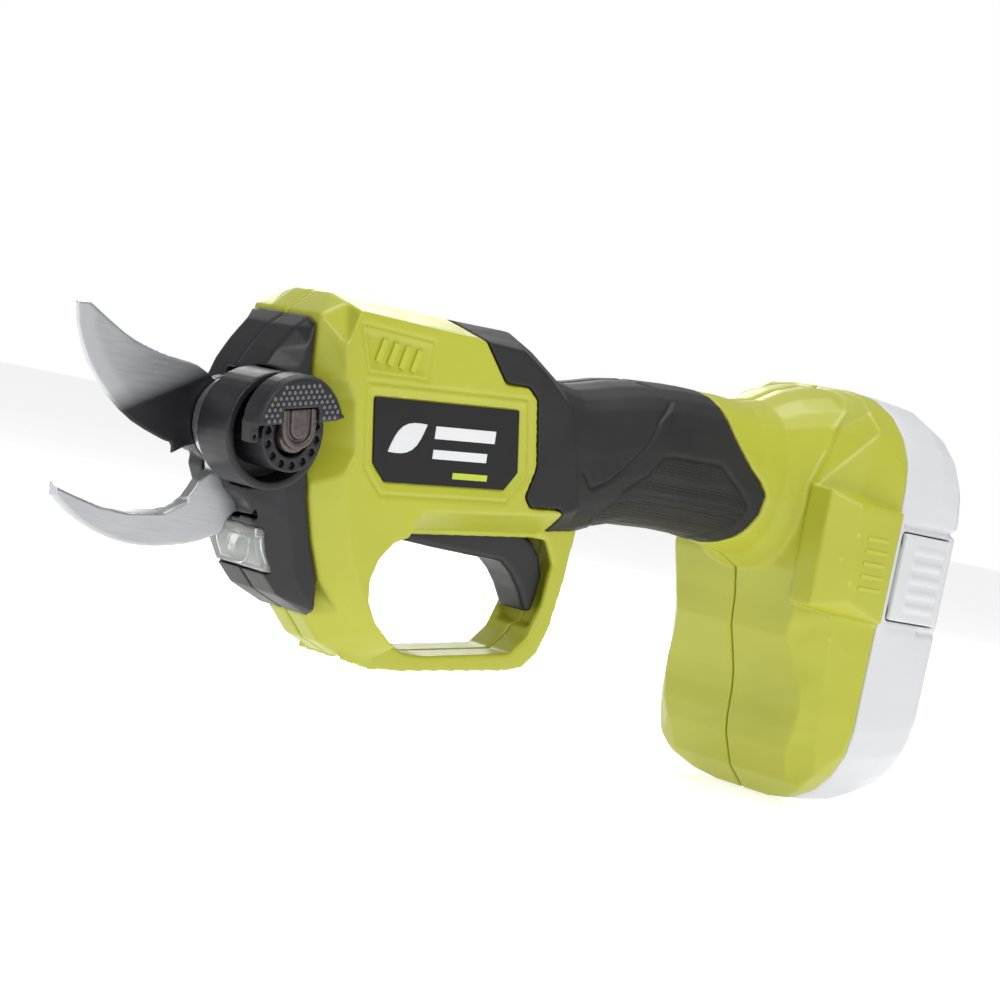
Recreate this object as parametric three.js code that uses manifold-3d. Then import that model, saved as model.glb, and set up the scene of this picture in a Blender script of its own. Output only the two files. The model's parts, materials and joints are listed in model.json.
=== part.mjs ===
// Battery electric pruner: bypass blades driven by a motor and a planetary gearbox, a closed
// finger guard with a trigger, a rubber-covered handle, and a battery pack that slides on from
// behind. X runs back along the handle, Y across the tool (the pivot bolt's axis), Z up.
// While it is being drawn, the origin is the middle of the battery foot's open rim.
import * as THREE from 'three';
import { mergeVertices } from 'three/addons/utils/BufferGeometryUtils.js';
import Module from 'manifold-3d';

const wasm = await Module();
wasm.setup();

// ---- driving dimensions, millimetres and degrees ----
const gap = 0.3;                       // clearance between pieces that touch
const wall = 2.2;                      // housing wall
const skin = 1.8;                      // rubber overmould thickness
const pivot = { x: -201.2, z: 15.6 };  // blade pivot
const driveTilt = 9.3;                 // the drive line rises to the rear by this angle
const bodyHalf = { side: 17.5, shoulder: 12.5, roof: 6.5 };
const guardHalf = 7;                   // half width of the finger guard
const rim = { width: 68, height: 114, corner: 24 };
const cup = { radius: 13.4, bore: 11.5, near: -18, far: -6.4, floor: [-11.5, -9] };
const blade = { root: 10.4, bore: 4.3, fixed: [-3.2, -0.2], moving: [0.1, 3.1] };
const bolt = { shank: 4, near: -26.2, seat: -24.5, far: 14.4 };
const nut = { radius: 6, near: 11.3, far: 14.6 };
const triggerPivot = { x: -150.5, z: 0.5, pin: 1.6 };
const pinion = { teeth: 12, root: 3.9, tip: 5, near: 14.3, far: 17.2 };
const sector = { teeth: 42, cut: 7, hub: 6.6, web: 5.2, rim: 18.2, from: -43, to: 15 };
const sectorTeeth = { half: 0.35, inner: 14.3, outer: 17.2, near: 4.1, far: 5.4 };
const planetary = {
  small: { teeth: 12, root: 2.5, tip: 3.4 }, ring: { teeth: 36, root: 9.7, tip: 8.6 }, arm: 6, toothWidth: 0.55,
};
const gearcase = { outer: 13, inner: 11.2, near: 24, far: 49 };
const motor = { radius: 12, inner: 10.8, near: 50, far: 80, shaft: 1.5 };
const cell = { radius: 9, length: 60.6, pitch: 18.4, x: 14.9 };
const battery = {
  back: 28.6, wall: 2.2, stemTip: -58, stemHalf: 10.6, stemLow: 15.2, stemHigh: 40, stemZ: 27.5,
};

// ---- solids and meshes ----
const group = new THREE.Group();

function material(color, roughness, metalness = 0) {
  return { color, roughness, metalness };
}
const lime = material(0xb4c21e, 0.42);
const blackPlastic = material(0x232427, 0.5);
const rubber = material(0x2b2b2d, 0.75);
const brushedSteel = material(0xb9bcc0, 0.35, 0.9);
const darkSteel = material(0x4a4b4e, 0.4, 0.8);
const aluminium = material(0xa8aaad, 0.45, 0.85);
const brass = material(0xc09a4a, 0.4, 0.9);
const clear = material(0xe8ecec, 0.1);
const frosted = material(0xe6e7e6, 0.35);
const copper = material(0xb06a3c, 0.4, 0.9);
const board = material(0x1f5a3a, 0.6);
const cellWrap = material(0x6f8fa8, 0.45);

function solid(geometry) {
  const bare = geometry.clone();
  bare.deleteAttribute('normal');
  bare.deleteAttribute('uv');
  const merged = mergeVertices(bare, 1e-4);
  const mesh = new wasm.Mesh({
    numProp: 3,
    vertProperties: new Float32Array(merged.attributes.position.array),
    triVerts: new Uint32Array(merged.index.array),
  });
  return new wasm.Manifold(mesh);
}

function geometryOf(form) {
  const mesh = form.getMesh();
  const geometry = new THREE.BufferGeometry();
  geometry.setAttribute('position', new THREE.BufferAttribute(new Float32Array(mesh.vertProperties), 3));
  geometry.setIndex(new THREE.BufferAttribute(new Uint32Array(mesh.triVerts), 1));
  geometry.computeVertexNormals();
  return geometry;
}

function add(name, form, look) {
  const mesh = new THREE.Mesh(geometryOf(form), new THREE.MeshStandardMaterial(look));
  mesh.name = name;
  group.add(mesh);
  return form;
}

function union(...forms) {
  return forms.reduce((all, form) => all.add(form));
}

// A closed skin over rings of equal point count; flat() gives a ring's plane coordinates for the caps.
function ringStack(rings, flat) {
  const count = rings[0].length;
  const ccw = THREE.ShapeUtils.area(rings[0].map((p) => new THREE.Vector2(...flat(p)))) > 0;
  const ordered = rings.map((ring) => (ccw ? ring : [...ring].reverse()));
  const cap = (ring) => THREE.ShapeUtils.triangulateShape(ring.map((p) => new THREE.Vector2(...flat(p))), []);
  const index = [];
  cap(ordered[0]).forEach(([a, b, c]) => index.push(a, c, b));
  for (let r = 0; r + 1 < ordered.length; r += 1) {
    for (let i = 0; i < count; i += 1) {
      const a = r * count + i;
      const b = r * count + ((i + 1) % count);
      index.push(a, b, b + count, a, b + count, a + count);
    }
  }
  const last = (ordered.length - 1) * count;
  cap(ordered.at(-1)).forEach(([a, b, c]) => index.push(last + a, last + b, last + c));
  const points = ordered.flat();
  if (signedVolume(points, index) < 0) index.reverse();
  const geometry = new THREE.BufferGeometry();
  geometry.setAttribute('position', new THREE.Float32BufferAttribute(points.flat(), 3));
  geometry.setIndex(index);
  return solid(geometry);
}

function signedVolume(points, index) {
  const [a, b, c] = [new THREE.Vector3(), new THREE.Vector3(), new THREE.Vector3()];
  let total = 0;
  for (let i = 0; i < index.length; i += 3) {
    a.fromArray(points[index[i]]);
    b.fromArray(points[index[i + 1]]);
    c.fromArray(points[index[i + 2]]);
    total += a.dot(b.cross(c));
  }
  return total;
}

// Rings drawn in XZ, stacked across Y.
function acrossY(levels) {
  return ringStack(levels.map(([y, outline]) => outline.map(([x, z]) => [x, y, z])), (p) => [p[0], p[2]]);
}
// Rings drawn in YZ, stacked along X.
function alongX(levels) {
  return ringStack(levels.map(([x, outline]) => outline.map(([y, z]) => [x, y, z])), (p) => [p[1], p[2]]);
}
// Rings drawn in XY, stacked up Z.
function upZ(levels) {
  return ringStack(levels.map(([z, outline]) => outline.map(([x, y]) => [x, y, z])), (p) => [p[0], p[1]]);
}
function plate(outline, y0, y1) {
  return acrossY([[y0, outline], [y1, outline]]);
}
function box(x0, x1, y0, y1, z0, z1) {
  return solid(new THREE.BoxGeometry(x1 - x0, y1 - y0, z1 - z0)
    .translate((x0 + x1) / 2, (y0 + y1) / 2, (z0 + z1) / 2));
}
function circle(x, z, radius, count = 32, from = 0) {
  return Array.from({ length: count }, (_, i) => {
    const angle = from + (2 * Math.PI * i) / count;
    return [x + radius * Math.cos(angle), z + radius * Math.sin(angle)];
  });
}
// A disc or bar about an axis parallel to Y through (x, z).
function discY(x, z, radius, y0, y1, count = 32) {
  return plate(circle(x, z, radius, count), y0, y1);
}
function ringY(x, z, outer, inner, y0, y1, count = 24) {
  return discY(x, z, outer, y0, y1, count).subtract(discY(x, z, inner, y0 - 1, y1 + 1, count));
}
// A disc or bar along X through (y, z).
function discX(y, z, radius, x0, x1, count = 24) {
  const outline = circle(y, z, radius, count);
  return alongX([[x0, outline], [x1, outline]]);
}
function tubeX(y, z, outer, inner, x0, x1, count = 20) {
  return discX(y, z, outer, x0, x1, count).subtract(discX(y, z, inner, x0 - 1, x1 + 1, count));
}
// A section across X: a rounded oblong between two heights.
function oblong(halfWidth, low, high, power = 2.6, count = 32) {
  const middle = (low + high) / 2;
  const half = (high - low) / 2;
  const round = (value) => Math.sign(value) * Math.abs(value) ** (2 / power);
  return Array.from({ length: count }, (_, i) => {
    const angle = (2 * Math.PI * (i + 0.5)) / count;
    return [halfWidth * round(Math.cos(angle)), middle + half * round(Math.sin(angle))];
  });
}
function roundedBox(halfWidth, halfHeight, corner, count = 5) {
  const points = [];
  [[1, 1], [-1, 1], [-1, -1], [1, -1]].forEach(([sy, sz], quarter) => {
    for (let i = 0; i <= count; i += 1) {
      const angle = (Math.PI / 2) * (quarter + i / count);
      points.push([
        sy * (halfWidth - corner) + corner * Math.cos(angle),
        sz * (halfHeight - corner) + corner * Math.sin(angle),
      ]);
    }
  });
  return points;
}
// Moves every side of a counter-clockwise outline inwards by a distance.
function inset(outline, distance) {
  const count = outline.length;
  return outline.map((point, i) => {
    const before = outline[(i + count - 1) % count];
    const after = outline[(i + 1) % count];
    const [ux, uy] = direction(before, point);
    const [vx, vy] = direction(point, after);
    const [nx, ny] = [-uy - vy, ux + vx];
    const scale = (2 * distance) / (nx * nx + ny * ny);
    return [point[0] + nx * scale, point[1] + ny * scale];
  });
}
function direction([ax, ay], [bx, by]) {
  const length = Math.hypot(bx - ax, by - ay);
  return [(bx - ax) / length, (by - ay) / length];
}

// ---- outer form of the housing, before its skin and cavity are taken out ----
// Body outlines, counter-clockwise from the top rear: the roof ridge, then the flat side face.
const roofOutline = [
  [-109, 41], [-120, 46.8], [-129, 50.2], [-151, 49.5], [-185.4, 49.3], [-191.6, 43.4], [-190.3, 32],
  [-186.7, 15], [-183.7, 1.7], [-180.4, -7.3], [-175.9, -16.5], [-174, -25.4], [-167.5, -31.3],
  [-159.6, -34.1], [-152, -34.9], [-155.2, -19.5], [-154.8, -7.6], [-151.8, -2.9], [-109, 1.3], [-97, 3.4],
];
const sideOutline = [
  [-113, 35.4], [-123.2, 41.8], [-132, 46.1], [-151, 46.1], [-184, 46.1], [-186, 37.3], [-184, 30],
  [-180, 15], [-177, 3], [-173.6, -6], [-168.6, -14.8], [-163, -21.5], [-158.2, -25.4],
  [-154.3, -27.4], [-151.8, -28.4], [-157.8, -19.5], [-157.2, -5.6], [-152.8, 3.8], [-109.3, 8.8], [-103, 11.2],
];
const frontCorners = [5, 10];          // the points of the outlines that lie on the flat front face
const shoulderOutline = roofOutline.map(([x, z], i) => {
  const share = (bodyHalf.shoulder - bodyHalf.roof) / (bodyHalf.side - bodyHalf.roof);
  const onFront = i >= frontCorners[0] && i <= frontCorners[1];
  const between = (from, to) => from + (to - from) * share;
  return onFront ? [x, z] : [between(x, sideOutline[i][0]), between(z, sideOutline[i][1])];
});

// At a depth below the surface the body has no front pillar: the finger guard is solid.
const pillarPoints = [10, 16];
function bodyForm(depth) {
  const upper = (outline) => outline.filter((_, i) => i < pillarPoints[0] || i > pillarPoints[1]);
  const levels = [
    [bodyHalf.side, sideOutline], [bodyHalf.shoulder, shoulderOutline], [bodyHalf.roof, roofOutline],
  ].map(([y, outline]) => [y - depth, depth ? inset(upper(outline), depth) : outline]);
  const mirrored = [...levels].reverse().map(([y, outline]) => [-y, outline]);
  return acrossY([...levels, ...mirrored]);
}

// The handle's sections: place along X, half width, underside, top, squareness.
const handleSections = [
  [-123, 15.5, 5.2, 43.8, 3], [-111, 15.6, 3.6, 41.8, 3], [-103.4, 15.6, 2.6, 41.2, 2.8],
  [-96.3, 15.8, 3.2, 42.8, 2.6], [-89.4, 16.2, 5.6, 44.6, 2.5], [-79.5, 16.6, 8, 46.2, 2.4],
  [-63.7, 16.8, 8.8, 47.5, 2.4], [-48, 16.6, 8.6, 47.7, 2.4], [-39, 16.8, 7.8, 47.4, 2.4],
  [-31, 18, 6.4, 49, 2.4], [-23, 21, 3, 53, 2.4], [-13, 25.5, -4, 56, 2.5], [-1, 29.5, -10, 56.4, 2.8],
];
function handleForm(depth) {
  const count = depth > skin + 1 ? 16 : 24;
  return alongX(handleSections.map(([x, half, low, high, power]) => (
    [x, oblong(half - depth, low + depth, high - depth, power, count)])));
}

// The foot's slices up Z: front face, crease half width, then the side band's edge and half width.
// The front dips in and out in finger waves.
const footSlices = [
  [-57, -1.6, 19, -1, 30], [-51, -8.6, 21, -6, 29.6], [-42, -13.2, 22.5, -9, 29.4], [-36.5, -14.2, 24.5, -10, 29.4],
  [-30.5, -14.4, 25.5, -10.4, 29.4], [-25, -15.4, 25, -10.6, 29.2], [-19, -17.6, 22.6, -11, 29.2],
  [-12, -20.4, 20.6, -12, 29.2], [-4, -21.4, 22.4, -12.4, 29.2], [6, -24, 23.4, -13, 29.2],
  [30, -24, 23, -13, 29.2], [46, -17, 21, -11, 29], [57, -6, 16, -5, 28],
];
function footForm(depth) {
  const half = rim.width / 2;
  const slices = footSlices.map(([z, front, crease, band, bandHalf]) => {
    const side = [[0, half - depth], [band, bandHalf - depth], [front, crease - depth / 2]];
    const far = side.map(([x, y]) => [x, -y]).reverse();
    return [z, [...side, ...far].map(([x, y]) => [x + depth, y])];
  });
  const outline = roundedBox(half - depth, rim.height / 2 - depth, rim.corner - depth);
  return upZ(slices).intersect(alongX([[-40, outline], [depth / 2, outline]]));
}

// Finger guard: the hoop's outer edge and the opening in it.
const guardOutline = [
  [-94.6, 5], [-95.2, -7.6], [-96.8, -19.5], [-99.2, -26.4], [-102.8, -30], [-107.6, -31.3], [-142, -34.7],
  [-152, -35.1], [-160.6, -33.7], [-162.6, -19.5], [-160.6, 2.3],
];
const loopOutline = [
  [-108.2, 1.7], [-103, 1.6], [-99.2, -4], [-99.8, -14.5], [-102.8, -23], [-107.6, -27.8], [-136, -31.2],
  [-142, -31], [-150.7, -27.8], [-156.3, -23.8], [-159.6, -19.3], [-160.6, -14.1], [-159.2, -9],
  [-155.7, -4.7], [-151.7, -2.9],
];
function guardForm() {
  const edge = 1.2;
  const eased = inset(guardOutline, edge);
  return acrossY([[guardHalf + edge, eased], [guardHalf, guardOutline], [-guardHalf, guardOutline],
    [-guardHalf - edge, eased]]);
}

// The loop widens towards each outer face at its front.
const loopFlare = { from: guardHalf, to: 19, shift: 5 };
function loopCut() {
  const front = loopOutline.filter(([x]) => x < -134).concat([[-134, -2], [-134, -31]]);
  const ordered = [...front.slice(-1), ...front.slice(0, -1)];
  const wide = ordered.map(([x, z], i) => [i === 0 || i === ordered.length - 1 ? x : x - loopFlare.shift, z]);
  const flare = (side) => acrossY([[side * loopFlare.from, ordered], [side * loopFlare.to, wide]]);
  return union(plate(loopOutline, -30, 30), flare(1), flare(-1));
}

// Raised pads over the battery latches. The far one is shorter.
const padReach = { root: 22, edge: 29.5, face: 35.6 };
function latchPad(side, low) {
  const foot = [[-0.4, low - 4], [-0.4, 28.4], [-25, 29.6], [-24.4, low - 1]];
  const top = [[-0.4, low - 2.6], [-0.4, 27], [-18, 27], [-17, low + 2]];
  return acrossY([[side * padReach.root, foot], [side * padReach.edge, foot], [side * padReach.face, top]]);
}

function envelope(depth) {
  return union(bodyForm(depth), handleForm(depth), footForm(depth));
}

// ---- rubber grip ----
const gripOutline = [
  [-62, 60], [-149, 60], [-149, 50], [-144, 46], [-135.5, 37.6], [-128, 38], [-124.5, 35.5], [-120, 19],
  [-121.8, 11.8], [-119.7, 9.4], [-109.5, 10.2], [-106.6, 8], [-104.6, 3], [-98, -1], [-94, -6], [-46, 1],
  [-42, 8], [-38, 12.5], [-36, 19], [-36, 24], [-38.4, 27], [-43.4, 30.2], [-50.5, 37], [-53.5, 42.7],
];
function gripRegion(extra) {
  return plate(inset(gripOutline, -extra), -30, 30);
}
function gripSkin() {
  return envelope(0).intersect(gripRegion(0)).subtract(envelope(skin)).subtract(guardForm());
}

// ---- halves, split at the middle ----
const far = 260;
function half(form, side) {
  const [y0, y1] = side < 0 ? [-far, -gap / 2] : [gap / 2, far];
  return form.intersect(box(-far, far, y0, y1, -far, far));
}

// ---- label plate and the sunk panel above it, on each side face ----
const labelOutline = [[-174.5, 27.8], [-171, 12.8], [-166.5, 9], [-129.3, 12.4], [-126, 17], [-129.6, 31.8]];
const labelFrame = inset(labelOutline, -2.6);
const labelDepth = 1.4;
const panelOutline = [[-182.5, 43], [-178, 33.4], [-160.4, 34.6], [-161, 42.7]];
function labelPlate(side) {
  const face = side * (bodyHalf.side - 0.5);
  return plate(labelOutline, face, face - side * (labelDepth - 0.5 - gap));
}
function sideRecesses(side) {
  const face = side * bodyHalf.side;
  const out = face + side;
  return union(
    plate(inset(labelOutline, -gap), face - side * labelDepth, out),
    acrossY([[face - side * 0.5, inset(labelFrame, 1.4)], [out, inset(labelFrame, -1.4)]]),
    ...(side < 0 ? [acrossY([[face + 0.8, inset(panelOutline, 1)], [face - 0.2, panelOutline]])] : []),
  );
}

// ---- lime housing ----
// A scoop in each side gives room for the pivot's cup. The near one is larger and eight-sided.
const scoop = { near: 8.6, floor: 1.2, wall: 1.6, narrowing: 0.75, cupRoom: 14.4 };
const farScoop = { small: 12.8, large: 16 };
const scoopOutline = [
  [-176.6, 14.6], [-179.9, 26.7], [-183.2, 30.3], [-187.2, 31.9], [-201, 33], [-216, 30], [-216, 1],
  [-201, -1], [-187.4, 1.2], [-181.9, 3.1], [-178.9, 7.7],
];
const scoopBottom = scoopOutline.map(([x, z]) => [
  pivot.x + (x - pivot.x) * scoop.narrowing, pivot.z + (z - pivot.z) * scoop.narrowing,
]);
const cavityDepth = skin + gap + wall;
const scoopTop = bodyHalf.side + 0.6;
function nearScoop() {
  return acrossY([[-scoop.near, scoopBottom], [-scoopTop, scoopOutline]]);
}
function scoopWall() {
  const [bottom, top] = [scoopBottom, scoopOutline].map((outline) => inset(outline, -scoop.wall));
  return acrossY([[-scoop.near + scoop.floor, bottom], [-scoopTop, top]]);
}
function farSideScoop() {
  const ring = (radius) => circle(pivot.x, pivot.z, radius, 16);
  return acrossY([[scoop.near, ring(farScoop.small)], [scoopTop, ring(farScoop.large)]]);
}
const slotHalf = 6.2;
function triggerSlot() {
  const outline = [
    [-157, -3], [-150, -9], [-112, -10], [-102, -21], [-98.8, -20], [-97.2, -13], [-96.8, -5], [-96.6, 4],
    [-99, 8.5], [-104, 12], [-157, 12],
  ];
  return plate(outline, -slotHalf, slotHalf);
}
function cavity() {
  const front = box(-200, -146, -far, far, -12, far);
  const open = union(bodyForm(cavityDepth), handleForm(cavityDepth), footForm(wall));
  const mouth = box(-210, -176, -9.8, 9.8, -8, 40);
  return union(open, bodyForm(wall).intersect(front), mouth);
}

// Places a point given along the drive line, across the tool and square to both.
function onDrive(along, y, up) {
  const tilt = THREE.MathUtils.degToRad(driveTilt);
  return [
    pivot.x + along * Math.cos(tilt) - up * Math.sin(tilt), y,
    pivot.z + along * Math.sin(tilt) + up * Math.cos(tilt),
  ];
}
function driveRoom(radius, from, to) {
  const outline = circle(0, 0, radius, 32);
  return ringStack([from, to].map((along) => outline.map(([y, up]) => onDrive(along, y, up))), (p) => [p[1], p[2]]);
}

// ---- screws: place in XZ, and the Y of the far face they are sunk into ----
const screws = [[-178, 40, 17.5], [-165.4, -5, 17.5], [-104, 31, 15.6], [-14, 45.5, 24.5], [-5, -43, 29.4]];
const screw = { head: 2.9, headHeight: 2.2, shank: 1.3, near: -6, boss: 3.4, sink: 0.7 };
function bosses() {
  return union(...screws.map(([x, z, face]) => discY(x, z, screw.boss, -face, face, 12)));
}
function screwHoles() {
  return union(...screws.map(([x, z, face]) => union(
    discY(x, z, screw.head + gap, face - screw.sink - screw.headHeight - gap, face + 12, 14),
    discY(x, z, screw.shank + gap, screw.near - 1.5, face, 8),
  )));
}
function screwForm([x, z, face]) {
  const top = face - screw.sink;
  const recess = box(x - 1.7, x + 1.7, top - 1, top + 1, z - 0.4, z + 0.4)
    .add(box(x - 0.4, x + 0.4, top - 1, top + 1, z - 1.7, z + 1.7));
  return union(
    discY(x, z, screw.head, top - screw.headHeight, top, 14),
    discY(x, z, screw.shank, screw.near, top - 1, 8),
  ).subtract(recess);
}

// ---- walls and seats inside the housing ----
const ribs = [{ x: -172, low: 2, hold: gearcase.outer }, { x: -157, low: 12.5, hold: gearcase.outer },
  { x: -143, low: 12.5, hold: motor.radius }, { x: -127, low: 12.5, hold: motor.radius }];
function ribForm({ x, low, hold }) {
  const slab = box(x - 0.8, x + 0.8, -20, 20, low, 50);
  return slab.subtract(driveRoom(hold + gap, 10, 100));
}
const springSeat = { x: -116, low: 4.2, high: 12, radius: 2.4, wire: 0.45 };
const bulkhead = [-9, -7];
function innerWalls() {
  const shelf = box(springSeat.x - 5, springSeat.x + 5, -14, 14, springSeat.high + gap, springSeat.high + 2.2);
  const rear = box(bulkhead[0], bulkhead[1], -40, 40, -60, 60);
  const pinSeat = discY(triggerPivot.x, triggerPivot.z, 3.8, -14, 14, 16);
  return union(...ribs.map(ribForm), shelf, rear, pinSeat);
}
function stemSection(extra) {
  return oblong(battery.stemHalf + extra, battery.stemLow - extra, battery.stemHigh + extra, 2.4, 24);
}
function innerHoles() {
  return union(
    alongX([[battery.stemTip - 3, stemSection(1)], [2, stemSection(1)]]),
    discY(triggerPivot.x, triggerPivot.z, triggerPivot.pin + gap, -9.6, 9.6, 16),
  );
}

// ---- lime housing halves and rubber grips ----
function hubCut(side) {
  const room = side < 0 ? scoop.cupRoom : farScoop.small;
  const shaft = discY(pivot.x, pivot.z, room, side * noseHalf.slot, side * (bodyHalf.side + 5));
  return shaft.add(side < 0 ? nearScoop() : farSideScoop());
}
function housing(side) {
  const skinned = envelope(0).subtract(gripRegion(gap).subtract(envelope(skin + gap)));
  const pad = latchPad(side, side < 0 ? -1 : 10);
  const outer = union(skinned, guardForm().subtract(envelope(skin)), pad);
  const walls = union(bosses(), innerWalls(), scoopWall());
  const inside = walls.intersect(envelope(skin + gap + 0.05));
  return half(outer.subtract(cavity()).add(inside), side)
    .subtract(union(loopCut(), triggerSlot(), sideRecesses(side), hubCut(side), screwHoles(), innerHoles()));
}
function grip(side) {
  return half(gripSkin(), side).subtract(union(triggerSlot(), screwHoles()));
}

// ---- black nose, round the blade pivot ----
const tang = { x: -191, z: 0.6, screw: 1.5 };  // the fixed blade's screw
const spacer = { radius: 9, near: -8.7, far: -3.5 };
const noseOutline = [
  [-192, 42.6], [-195.5, 39.4], [-199.6, 33.5], [-202, 29], [-203.5, 24], [-204, 14], [-203.5, 4],
  [-201.5, 0.6], [-197, -2.6], [-195, -7], [-193.2, -12], [-189.5, -17.2], [-184.7, -21.4], [-174.6, -25.2],
  [-176.4, -16.6], [-180.8, -7.5], [-184.1, 1.7], [-187.1, 15], [-190.8, 32],
];
const noseShoulder = [
  [-191.9, 42.4], [-192.2, 40], [-192.8, 36], [-193.6, 31], [-194, 24], [-193, 14], [-191.4, 4],
  [-189.5, 0], [-187.8, -5], [-186.2, -10], [-184.6, -13.8], [-182.3, -18], [-180, -20.4], [-175.4, -23.6],
  [-176.4, -16.6], [-180.8, -7.5], [-184.1, 1.7], [-187.1, 15], [-190.8, 32],
];
const noseHalf = { front: 9.2, side: 12.5, room: 9.6, slot: 3.7, web: 6.1 };
const lens = { low: -16.6, high: -6.9, half: 9.6, depth: 2.2, back: -186.6 };
const boss = { outer: 9, inner: 7.1, floor: 8.3 };
function noseForm(shift = 0) {
  const moved = (outline) => outline.map(([x, z]) => [x + shift, z]);
  const levels = [[noseHalf.side, moved(noseShoulder)], [noseHalf.front, moved(noseOutline)]];
  return acrossY([...levels, ...levels.map(([y, outline]) => [-y, outline]).reverse()]);
}
// A sector of a disc about the pivot, between two angles in degrees.
function wedge(from, to, reach, y0, y1) {
  const steps = 12;
  const points = Array.from({ length: steps + 1 }, (_, i) => {
    const angle = THREE.MathUtils.degToRad(from + ((to - from) * i) / steps);
    return [pivot.x + reach * Math.cos(angle), pivot.z + reach * Math.sin(angle)];
  });
  return plate([[pivot.x, pivot.z], ...points], y0, y1);
}
function tangPillar() {
  return discY(tang.x, tang.z, 3, noseHalf.slot - 3.6, noseHalf.room + 1, 16);
}
function farBoss() {
  const { x, z } = pivot;
  const tower = discY(x, z, boss.outer, noseHalf.slot, noseHalf.side, 40)
    .subtract(discY(x, z, boss.inner, noseHalf.slot - 1, boss.floor, 32));
  return tower.subtract(wedge(-56, 78, 30, noseHalf.slot - 1, boss.floor));
}
function noseShell() {
  const room = plate(inset(noseOutline, wall), -noseHalf.room, noseHalf.room);
  const mouth = box(-196, -170, -noseHalf.room, noseHalf.room, -5, 36);
  return noseForm().subtract(union(room, mouth));
}
function noseCuts() {
  const slot = plate([
    [-220, 27.5], [-220, -16], [-198, -12.6], [-196.6, -5.4], [-189, -5.4], [-189, 27.5],
  ], -noseHalf.slot, noseHalf.slot);
  return slot.add(box(-210, lens.back, -lens.half - gap, lens.half + gap, lens.low - gap, lens.high + gap));
}
function noseLeft() {
  const { x, z } = pivot;
  const web = noseForm().intersect(box(-210, -189.6, -noseHalf.web, -noseHalf.slot, -4, 32));
  const cupSeat = discY(x, z, cup.radius + gap, -30, -noseHalf.web);
  return half(union(noseShell(), web).subtract(noseCuts()), -1)
    .subtract(union(cupSeat, discY(x, z, spacer.radius + gap, -30, 0),
      discY(tang.x, tang.z, 3.2, -noseHalf.room, 0, 16)));
}
function noseRight() {
  const { x, z } = pivot;
  const nutSeat = discY(x, z, nut.radius + gap, nut.near - gap, 20, 6);
  const sweep = wedge(sector.from - 4, sector.to + 56, sector.rim + 0.8, noseHalf.slot - 1, boss.floor - 0.1);
  const screwHole = discY(tang.x, tang.z, tang.screw + gap, -1, 9.9, 12);
  const holes = union(discY(x, z, boss.inner, 0, boss.floor), discY(x, z, bolt.shank + gap, 0, 20), nutSeat);
  return half(union(noseShell().subtract(noseCuts()), farBoss(), tangPillar()), 1)
    .subtract(union(holes, screwHole, sweep));
}
function lensForm() {
  const slab = box(-210, lens.back, -lens.half, lens.half, lens.low, lens.high);
  const hollow = box(-210, lens.back + 1, -lens.half + 1.6, lens.half - 1.6, lens.low + 1.6, lens.high - 1.6);
  return noseForm().intersect(slab).subtract(noseForm(lens.depth).intersect(hollow));
}
function ledBoard() {
  const face = lens.back - 1.5;
  const middle = (lens.low + lens.high) / 2;
  return union(
    box(face, face + 1.2, -7.4, 7.4, lens.low + 2, lens.high - 2),
    tubeX(0, middle, 2.6, 2, face - 1.2, face + 0.4, 20),
    box(face - 0.8, face + 0.4, -1.2, 1.2, middle - 1.2, middle + 1.2),
  );
}

// ---- pivot stack, from the lever side to the far side ----
const lockRing = { outer: 8.4, inner: 5, near: -24.2, far: -11.8, notches: 14, notchAt: 6.8, notch: 1.1 };
// The lever is a half disc whose middle is above the bolt. It leans back and is hollow round the ring.
const lever = {
  radius: 12.2, near: -26.8, web: -24.6, far: -21, chamfer: 1, chord: 1.4, rise: 1.6, turn: 12, room: 8.8,
};
const boltEnd = { half: 4.6, top: 4.4, slot: [3.2, 2.3], slotDepth: 1 };
function onLever(points) {
  const turn = THREE.MathUtils.degToRad(lever.turn);
  return points.map(([u, v]) => [
    pivot.x + u * Math.cos(turn) - v * Math.sin(turn),
    pivot.z + lever.rise + u * Math.sin(turn) + v * Math.cos(turn),
  ]);
}
function pivotCup() {
  const { x, z } = pivot;
  const barrel = ringY(x, z, cup.radius, cup.bore, cup.near, cup.far, 40);
  return barrel.add(ringY(x, z, cup.bore + 0.5, 5.7, cup.floor[0], cup.floor[1], 20));
}
function uOutline(halfWidth, top) {
  const arc = Array.from({ length: 9 }, (_, i) => {
    const angle = Math.PI + (Math.PI * i) / 8;
    return [halfWidth * Math.cos(angle), halfWidth * Math.sin(angle)];
  });
  return onLever([[-halfWidth, top], ...arc, [halfWidth, top]]);
}
function pivotBolt() {
  const { x, z } = pivot;
  const [slotOuter, slotInner] = boltEnd.slot.map((halfWidth, i) => (
    plate(uOutline(halfWidth, boltEnd.top + 1 + i), bolt.near - 1 - i, bolt.near + boltEnd.slotDepth + i)));
  return plate(uOutline(boltEnd.half, boltEnd.top), bolt.near, bolt.seat)
    .subtract(slotOuter.subtract(slotInner))
    .add(discY(x, z, bolt.shank, bolt.seat - 0.2, bolt.far, 24));
}
function lockRingForm() {
  const { x, z } = pivot;
  const notches = Array.from({ length: lockRing.notches }, (_, i) => {
    const angle = (2 * Math.PI * i) / lockRing.notches;
    const [nx, nz] = [x + lockRing.notchAt * Math.cos(angle), z + lockRing.notchAt * Math.sin(angle)];
    return discY(nx, nz, lockRing.notch, lockRing.near - 1, lockRing.near + 1.6, 4);
  });
  return ringY(x, z, lockRing.outer, lockRing.inner, lockRing.near, lockRing.far, 28).subtract(union(...notches));
}
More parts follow.
